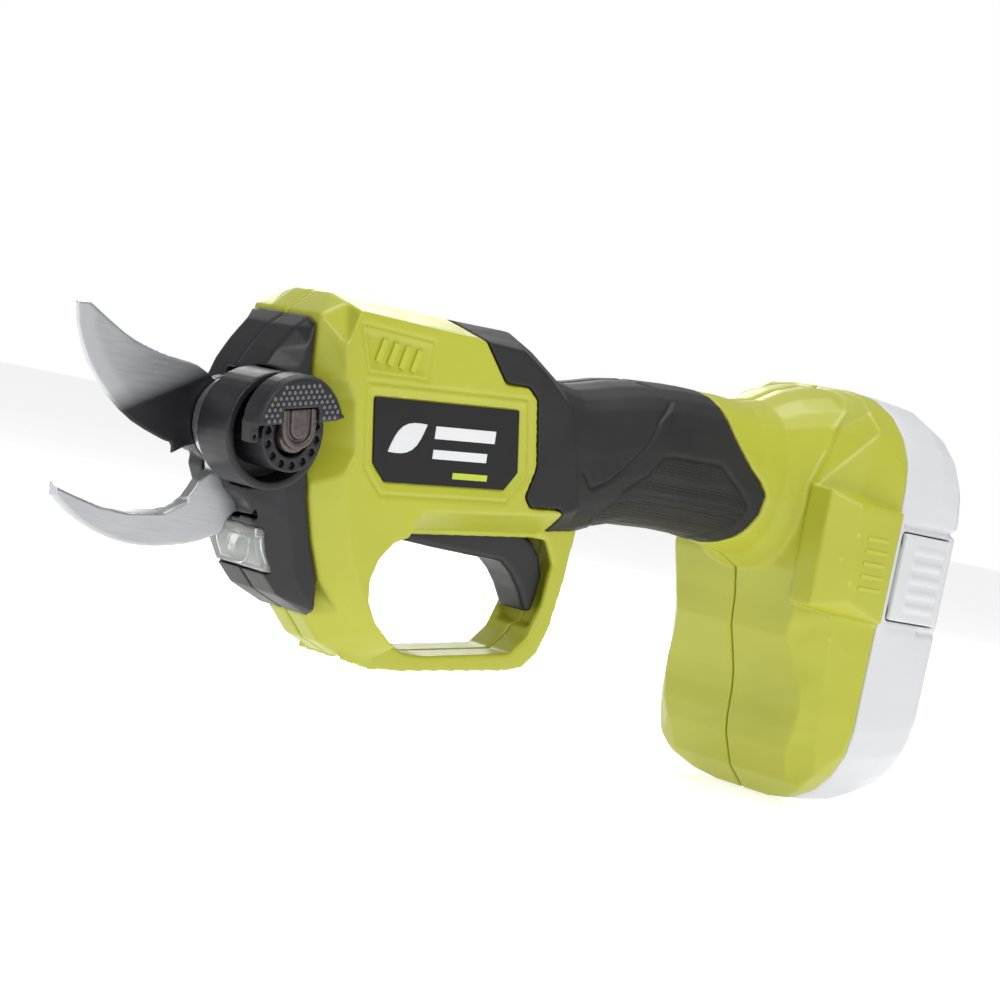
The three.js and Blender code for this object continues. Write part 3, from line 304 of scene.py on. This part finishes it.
def blade_material(name, coated):
    """Finely brushed steel; the moving blade's root is coated black."""
    steel = (0.5, 0.505, 0.525)
    mat = shader(name, steel, 0.4, 0.9)
    streaks = noise(mat, 900, 3, (0.1, 1, 1.6))
    tone = ramp(mat, streaks, 0.25, 0.75, scaled(steel, 0.9), scaled(steel, 1.1))
    body = mix(mat, attribute(mat, "ground"), tone, scaled(steel, 1.15))
    if coated:
        body = mix(mat, attribute(mat, "coating"), body, (0.01, 0.01, 0.012))
        metal = node(mat, "ShaderNodeMapRange", To_Min=0.9, To_Max=0.15)
        wire(mat, attribute(mat, "coating"), metal.inputs["Value"])
        wire(mat, metal.outputs["Result"], bsdf_of(mat).inputs["Metallic"])
    wire(mat, body, bsdf_of(mat).inputs["Base Color"])
    gloss = node(mat, "ShaderNodeMapRange", From_Min=0.3, From_Max=0.7, To_Min=0.36, To_Max=0.46)
    wire(mat, streaks, gloss.inputs["Value"])
    wire(mat, gloss.outputs["Result"], bsdf_of(mat).inputs["Roughness"])
    scratches = bump(mat, noise(mat, 2600, 2, (0.08, 1, 1.2)), 0.06, 0.03 * MM)
    wire(mat, scratches.outputs["Normal"], bsdf_of(mat).inputs["Normal"])
    return mat


def metal_material(name, color, roughness, metallic=0.9, scale=900):
    mat = shader(name, color, roughness, metallic)
    grain = noise(mat, scale, 3, (1, 0.15, 1))
    tone = ramp(mat, grain, 0.3, 0.7, scaled(color, 0.8), scaled(color, 1.2))
    wire(mat, tone, bsdf_of(mat).inputs["Base Color"])
    gloss = node(mat, "ShaderNodeMapRange", To_Min=roughness - 0.1, To_Max=roughness + 0.12)
    wire(mat, grain, gloss.inputs["Value"])
    wire(mat, gloss.outputs["Result"], bsdf_of(mat).inputs["Roughness"])
    marks = bump(mat, grain, 0.15, 0.04 * MM)
    wire(mat, marks.outputs["Normal"], bsdf_of(mat).inputs["Normal"])
    return mat


def lens_material():
    mat = shader("clear_lens", (0.93, 0.96, 0.93), 0.06, IOR=1.49, Transmission_Weight=0.85)
    flutes = bump(mat, noise(mat, 420, 1, (0.1, 1, 0.1)), 0.25, 0.1 * MM)
    wire(mat, flutes.outputs["Normal"], bsdf_of(mat).inputs["Normal"])
    return mat


LIME = (0.41, 0.425, 0.033)
BLACK = (0.016, 0.016, 0.018)
looks = {
    "lime_shell": moulded("lime_shell", LIME, 0.36, spread=0.04),
    "rubber_grip": rubber_material(),
    "black_plastic": moulded("black_plastic", BLACK, 0.4, spread=0.15, Specular_IOR_Level=0.4),
    "label_plate": moulded("label_plate", (0.013, 0.013, 0.014), 0.4, grain=1500, depth=0.05,
                           Specular_IOR_Level=0.22),
    "clear_lens": lens_material(),
    "circuit_board": moulded("circuit_board", (0.02, 0.12, 0.05), 0.45),
    "blade_steel": blade_material("blade_steel", False),
    "coated_blade": blade_material("coated_blade", True),
    "dark_steel": metal_material("dark_steel", (0.09, 0.09, 0.095), 0.38, 0.8),
    "bright_steel": metal_material("bright_steel", (0.6, 0.6, 0.62), 0.28),
    "cast_aluminium": metal_material("cast_aluminium", (0.5, 0.5, 0.52), 0.45, 0.9, 500),
    "brass_gear": metal_material("brass_gear", (0.62, 0.42, 0.14), 0.3),
    "copper_winding": metal_material("copper_winding", (0.55, 0.24, 0.12), 0.35, 0.9, 300),
    "lead_insulation": moulded("lead_insulation", (0.28, 0.02, 0.015), 0.5),
    "frosted_case": moulded("frosted_case", (0.6, 0.61, 0.63), 0.42, grain=1800, spread=0.02),
    "cell_wrap": moulded("cell_wrap", (0.05, 0.16, 0.3), 0.3, grain=1200),
    # paler grey than the black plastic: a painted glint on the lever's domes
    "stud_glint_plastic": moulded("stud_glint_plastic", (0.11, 0.11, 0.115), 0.22, grain=3000, depth=0.03),
    "mirror": metal_material("mirror", (0.86, 0.86, 0.87), 0.16, 1.0, 400),
    "bolt_steel": metal_material("bolt_steel", (0.115, 0.097, 0.09), 0.42, 0.7),
    "pale_print": moulded("pale_print", (0.62, 0.63, 0.64), 0.4, grain=3000, depth=0.04),
    "lime_print": moulded("lime_print", (0.42, 0.5, 0.04), 0.4, grain=3000, depth=0.04),
}


def dress(obj, look):
    obj.data.materials.clear()
    obj.data.materials.append(looks[look])
    return obj


# ---- camera, floor and light ----
VIEW_AZIMUTH, VIEW_ELEVATION, VIEW_ROLL = -42.724, 1.333, 11.956  # degrees
VIEW_DISTANCE = 0.650
LENS, SENSOR = 93.6, 36
AIM = CENTRE + Vector((-4.8, 0, 9.3)) * MM


def camera():
    """The view from the left front, rolled so that the blades point up to the left."""
    azimuth, elevation, roll = (math.radians(a) for a in (VIEW_AZIMUTH, VIEW_ELEVATION, VIEW_ROLL))
    back = Vector((math.sin(azimuth) * math.cos(elevation), -math.cos(azimuth) * math.cos(elevation),
                   math.sin(elevation)))
    right = (-back).cross(Vector((0, 0, 1))).normalized()
    up = back.cross(right)
    turned_right = right * math.cos(roll) + up * math.sin(roll)
    turned_up = up * math.cos(roll) - right * math.sin(roll)
    made = bpy.data.objects.new("camera", bpy.data.cameras.new("camera"))
    made.data.lens = LENS
    made.data.sensor_width = SENSOR
    facing = Matrix((turned_right, turned_up, back)).transposed().to_4x4()
    made.matrix_world = Matrix.Translation(AIM + back * VIEW_DISTANCE) @ facing
    bpy.context.scene.collection.objects.link(made)
    bpy.context.scene.camera = made


FLOOR_REACH = 6.0
FLOOR_GAP = 0.3


def floor():
    """A pale floor just under the foot; its own faint glow keeps it from going grey."""
    reach = FLOOR_REACH
    mesh = bpy.data.meshes.new("floor")
    corners = [(-reach, -reach), (reach, -reach), (reach, reach), (-reach, reach)]
    mesh.from_pydata([(x, y, LOW.z - FLOOR_GAP * MM) for x, y in corners], [], [(0, 1, 2, 3)])
    made = link("floor", mesh)
    pale = shader("floor", (0.8, 0.8, 0.8), 0.9, Emission_Color=(1, 1, 1, 1), Emission_Strength=0.6)
    mesh.materials.append(pale)


def area_light(name, place, size, power, color=(1, 1, 1)):
    data = bpy.data.lights.new(name, "AREA")
    data.shape = "DISK"
    data.size = size
    data.energy = power
    data.color = color
    made = bpy.data.objects.new(name, data)
    made.location = CENTRE + Vector(place)
    made.rotation_euler = (CENTRE - made.location).to_track_quat("-Z", "Y").to_euler()
    bpy.context.scene.collection.objects.link(made)


def studio_world():
    """A white room that the camera sees, and a dimmer one that lights the object."""
    world = bpy.data.worlds.new("studio")
    world.use_nodes = True
    tree = world.node_tree
    seen = tree.nodes.new("ShaderNodeLightPath")
    strength = tree.nodes.new("ShaderNodeMapRange")
    strength.inputs["To Min"].default_value = 0.36
    strength.inputs["To Max"].default_value = 1.0
    tree.links.new(seen.outputs["Is Camera Ray"], strength.inputs["Value"])
    background = tree.nodes["Background"]
    background.inputs["Color"].default_value = (1, 1, 1, 1)
    tree.links.new(strength.outputs["Result"], background.inputs["Strength"])
    bpy.context.scene.world = world


def lights():
    studio_world()
    bpy.context.scene.view_settings.view_transform = "Standard"
    area_light("top", (0.1, -0.05, 1.1), 0.8, 8.0)
    area_light("front", (-0.35, -1.0, 0.5), 0.5, 4.6)
    area_light("rear", (0.5, 0.9, 0.6), 0.6, 5.0)


# ---- the shells: each node's voxel size in millimetres and rounds of smoothing ----
SHELLS = {
    "housing_left": (0.5, 9), "housing_right": (0.5, 9), "grip_left": (0.5, 8), "grip_right": (0.5, 8),
    "nose_left": (0.42, 7), "nose_right": (0.42, 7), "pivot_cup": (0.35, 3), "lock_ring": (0.28, 2),
    "lock_lever": (0.28, 4), "pivot_bolt": (0.28, 3), "pivot_cap": (0.4, 5), "trigger": (0.45, 5),
    "led_lens": (0.35, 3), "battery_case": (0.62, 5), "battery_latch_left": (0.45, 3),
    "battery_latch_right": (0.45, 3), "moving_blade": (0.3, 1), "fixed_blade": (0.3, 1),
}
shells = {}
for shell_node, (voxel_size, rounds) in SHELLS.items():
    shells[shell_node] = dress(refined(shell_node, voxel_size, rounds), SLOT_OF[shell_node])
for cad_node, cad_object in frame["nodes"].items():
    if cad_node not in shells:
        dress(cad_object, SLOT_OF[cad_node])


# ---- rubber grip: a dotted palm panel in a groove, and creases by the thumb ----
PALM = [(-93, 9.5), (-90, 12.7), (-88.6, 13.7), (-87.2, 17.5), (-84.8, 19.7), (-80.4, 23), (-77.3, 26.7),
        (-75.7, 28.5), (-69.3, 29.1), (-54.6, 29.4), (-51, 27.2), (-45.5, 23.9), (-41, 20.6), (-40.1, 18.5),
        (-41.1, 15.2), (-43.1, 12.7), (-52, 7.5), (-68, 5), (-85, 5.5)]
THUMB = [(-79.9, 50), (-79.9, 46), (-75.2, 44.7), (-73.1, 42.7), (-79.2, 37.2), (-80.7, 33.9),
         (-82.8, 30.7), (-85.9, 26.8), (-88.9, 23.4), (-92.6, 19.9), (-95.7, 18), (-97.9, 16.9), (-99.6, 17.4), (-102.1, 20.3)]
HANDLE_Z = 28  # height of the handle's own middle line


def carve_grip(piece):
    points, normals = points_of(piece), normals_of(piece)
    outward = points[:, 1] * normals[:, 1] + (points[:, 2] - at(0, HANDLE_Z)[1]) * normals[:, 2] > 0
    palm = plan(PALM)
    inside = within(points, palm) & outward
    rim = groove(distance_to(points, palm, True), 0.9)
    crease = groove(distance_to(points, plan(THUMB)), 0.8)
    depth = outward * np.maximum(np.maximum(rim * 0.7, crease * 0.7), inside * 0.25)
    move_points(piece, points - normals * (depth * MM)[:, None])
    deep_inside = inside & (distance_to(points, palm, True) > 1.4 * MM)
    paint(piece, "palm", deep_inside)


carve_grip(shells["grip_left"])
carve_grip(shells["grip_right"])

# ---- housing: a sharp groove round each label frame, and one round the sunk panel's edge on the left ----
LABEL_FRAME = [(-177.6, 30.8), (-173.4, 11.4), (-167.3, 5.9), (-127.8, 9.6), (-122.8, 16.5), (-127.5, 34.9)]
PANEL = [(-182.7, 43.4), (-178.2, 32.9), (-159.9, 34.1), (-160.5, 43.2)]


def carve_housing(piece, side, with_panel):
    points, normals = points_of(piece), normals_of(piece)
    outward = (points[:, 1] * side > 15 * MM) & (normals[:, 1] * side > 0)
    cut = groove(distance_to(points, plan(LABEL_FRAME), True), 0.8) * 0.5
    if with_panel:
        cut = np.maximum(cut, groove(distance_to(points, plan(PANEL), True), 0.7) * 0.4)
    move_points(piece, points - normals * (outward * cut * MM)[:, None])


carve_housing(shells["housing_left"], -1, True)
carve_housing(shells["housing_right"], 1, False)

# ---- blades: ground towards the cutting edge, and the moving one coated round its root ----
MOVING_EDGE = [(-247.2, 34.6), (-245, 27.8), (-239.2, 19.8), (-229.4, 12.4), (-219, 8.8), (-214, 7)]
FIXED_EDGE = [(-245.2, -4.6), (-241.2, -5.6), (-233, -7.4), (-225, -7.8), (-216, -6.6), (-211, -3.6)]
GRIND = {"moving": 5.0, "fixed": 1.0}
EDGE_THICKNESS = 0.35
COATING_LINE = [(-231.6, 14.8), (-214.4, 24.5)]
COATING_LEAD, COATING_FADE = 3.5, 6


def grind(piece, node_name, path, width, flat_is_near):
    """Thins a blade towards its edge; the flat side stays where it is."""
    points = points_of(piece)
    low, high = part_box(node_name)
    share = np.clip(distance_to(points, plan(path)) / (width * MM), 0, 1)
    full = high.y - low.y
    room = EDGE_THICKNESS * MM + (full - EDGE_THICKNESS * MM) * share
    before = points[:, 1].copy()
    if flat_is_near:
        points[:, 1] = np.minimum(before, low.y + room)
    else:
        points[:, 1] = np.maximum(before, high.y - room)
    move_points(piece, points)
    paint(piece, "ground", np.clip((1 - share) * 3, 0, 1))


def coat_root(piece):
    """The coating starts at a slanting line across the blade and fades over a few millimetres."""
    points = points_of(piece)
    start, end = plan(COATING_LINE)
    run = (end - start) / np.linalg.norm(end - start)
    across = (points[:, [0, 2]] - start) @ np.array([run[1], -run[0]]) / MM
    paint(piece, "coating", np.clip((across + COATING_LEAD) / COATING_FADE, 0, 1))


grind(shells["moving_blade"], "moving_blade", MOVING_EDGE, GRIND["moving"], True)
grind(shells["fixed_blade"], "fixed_blade", FIXED_EDGE, GRIND["fixed"], False)
coat_root(shells["moving_blade"])
dress(shells["moving_blade"], "coated_blade")


# ---- small raised marks ----
def slab(name, outlines, y_low, y_high, body, slot, look):
    """Flat shapes drawn in XZ (metres) and given a thickness across Y."""
    build = bmesh.new()
    for outline in outlines:
        turn = sum(a[0] * b[1] - b[0] * a[1] for a, b in zip(outline, [*outline[1:], outline[0]]))
        ring = outline if turn > 0 else outline[::-1]
        near = [build.verts.new((x, y_low, z)) for x, z in ring]
        far = [build.verts.new((x, y_high, z)) for x, z in ring]
        build.faces.new(near)
        build.faces.new(far[::-1])
        for i in range(len(ring)):
            j = (i + 1) % len(ring)
            build.faces.new((near[j], near[i], far[i], far[j]))
    bmesh.ops.recalc_face_normals(build, faces=build.faces)
    mesh = bpy.data.meshes.new(name)
    build.to_mesh(mesh)
    build.free()
    piece = settle(link(name, mesh), body)
    ease = piece.modifiers.new("ease", "BEVEL")
    ease.width = 0.08 * MM
    ease.segments = 2
    apply_modifiers(piece)
    return dress(piece, look)


def turned(x, z, outline, lean):
    """An outline turned by lean degrees and set round the point x, z."""
    turn = math.radians(lean)
    return [at(x + u * math.cos(turn) - v * math.sin(turn), z + u * math.sin(turn) + v * math.cos(turn))
            for u, v in outline]


LEAF_STEPS = 8


def leaf(x, z, length, width, lean):
    """A leaf's outline: two arcs that meet in a point at each end."""
    shares = [step / LEAF_STEPS for step in range(LEAF_STEPS + 1)]
    ends = [(length * (share - 0.5), width / 2 * math.sin(math.pi * share)) for share in shares]
    return turned(x, z, ends + [(u, -v) for u, v in ends[-2:0:-1]], lean)


def bar(x, z, length, height, lean=0.0):
    """A straight bar's outline."""
    half_l, half_h = length / 2, height / 2
    return turned(x, z, [(-half_l, -half_h), (half_l, -half_h), (half_l, half_h), (-half_l, half_h)], lean)


def label_marks(side, node_name):
    """A plain leaf and three bars, in place of printing."""
    low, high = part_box(node_name)
    face = low.y if side < 0 else high.y
    span = sorted((face + side * 0.18 * MM, face - side * 0.1 * MM))
    pale = [leaf(-162.5, 20, 13, 6.4, 38), bar(-145, 23.4, 19, 3.0, 5), bar(-145.4, 18.2, 17, 2.2, 5)]
    slab(f"{node_name}_mark", pale, *span, "frame", "label_plate", "pale_print")
    slab(f"{node_name}_accent", [bar(-141, 13.8, 11, 1.5, 5)], *span, "frame", "label_plate", "lime_print")


label_marks(-1, "label_left")
label_marks(1, "label_right")


BARS_PROUD, BARS_SUNK = 0.3, 0.5  # from the label's face, outwards and inwards


def charge_bars():
    """Four raised bars in the sunk panel above the label."""
    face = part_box("label_left")[0].y
    bars = [bar(-175.5 + 3.6 * i, 38.4 - 0.2 * i, 1.6, 5.4, -12) for i in range(4)]
    slab("panel_bars", bars, face - BARS_PROUD * MM, face + BARS_SUNK * MM, "frame",
         "lime_shell", "lime_shell")


def pad_ribs():
    """Raised ribs on the near pad over the latch."""
    face = LOW.y
    ribs = [bar(-9, 5 + 3.4 * i, 9, 1.1) for i in range(5)]
    slab("pad_ribs", ribs, face - 0.25 * MM, face + 0.3 * MM, "frame", "lime_shell", "lime_shell")


LEVER_RISE, LEVER_TURN = 1.6, math.radians(12)  # of the half disc, over the bolt's axis
LEVER_REACH = 10.6
DOT_PITCH, DOT_RADIUS, DOT_FLATNESS = 1.5, 0.48, 0.8
DOT_ROWS, DOT_HALF_COLUMNS = 8, 8
FIRST_ROW = 2.3
BOLT_HALF_WIDTH, BOLT_TOP = 5.4, 5.3  # the domes keep clear of the bolt's end


def dot_places():
    """Where the domes stand on the lever's half disc, across and up, in millimetres."""
    for row in range(DOT_ROWS):
        for column in range(-DOT_HALF_COLUMNS, DOT_HALF_COLUMNS):
            u = (column + (row % 2) / 2) * DOT_PITCH
            v = FIRST_ROW + row * DOT_PITCH * 0.8
            on_bolt = abs(u) < BOLT_HALF_WIDTH and v < BOLT_TOP
            if math.hypot(u, v) <= LEVER_REACH and not on_bolt:
                yield u, v


def lever_dots():
    """Small domes over the lever's face, in rows, in a paler grey plastic that paints on their glints."""
    low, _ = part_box("lock_lever")
    cos, sin = math.cos(LEVER_TURN), math.sin(LEVER_TURN)
    build = bmesh.new()
    for u, v in dot_places():
        x = PIVOT.x + (u * cos - v * sin) * MM
        z = PIVOT.z + (LEVER_RISE + u * sin + v * cos) * MM
        place = Matrix.Translation((x, low.y, z)) @ Matrix.Diagonal((1, DOT_FLATNESS, 1, 1))
        bmesh.ops.create_icosphere(build, subdivisions=2, radius=DOT_RADIUS * MM, matrix=place)
    mesh = bpy.data.meshes.new("lever_dots")
    build.to_mesh(mesh)
    build.free()
    mesh.shade_smooth()
    # the domes' paler grey is a painted glint
    dress(settle(link("lever_dots", mesh), "lock_lever"), "stud_glint_plastic")


DISH = [(4.2, 4.1), (3.7, 4.4), (3, 3.7), (1.6, 2.6), (0.6, 1.5), (0.6, 0.4)]  # depth and radius
DISH_WALL = 0.3
DISH_TURNS = 36


def led_reflector():
    """A bright dish round the light, behind the lens."""
    low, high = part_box("led_lens")
    middle = (low.z + high.z) / 2
    profile = [(depth * MM, radius * MM) for depth, radius in DISH]
    ring = profile + [(depth - DISH_WALL * MM, radius) for depth, radius in profile[::-1]]
    turns = DISH_TURNS
    build = bmesh.new()
    rows = []
    for step in range(turns):
        angle = 2 * math.pi * step / turns
        rows.append([build.verts.new((high.x - depth, radius * math.cos(angle),
                                      middle + radius * math.sin(angle))) for depth, radius in ring])
    for step in range(turns):
        near, far = rows[step], rows[(step + 1) % turns]
        for i in range(len(ring)):
            j = (i + 1) % len(ring)
            build.faces.new((near[i], near[j], far[j], far[i]))
    bmesh.ops.recalc_face_normals(build, faces=build.faces)
    mesh = bpy.data.meshes.new("led_reflector")
    build.to_mesh(mesh)
    build.free()
    mesh.shade_smooth()
    dress(settle(link("led_reflector", mesh), "frame"), "mirror")


led_reflector()
charge_bars()
pad_ribs()
lever_dots()
dress(shells["pivot_bolt"], "bolt_steel")
camera()
floor()
lights()
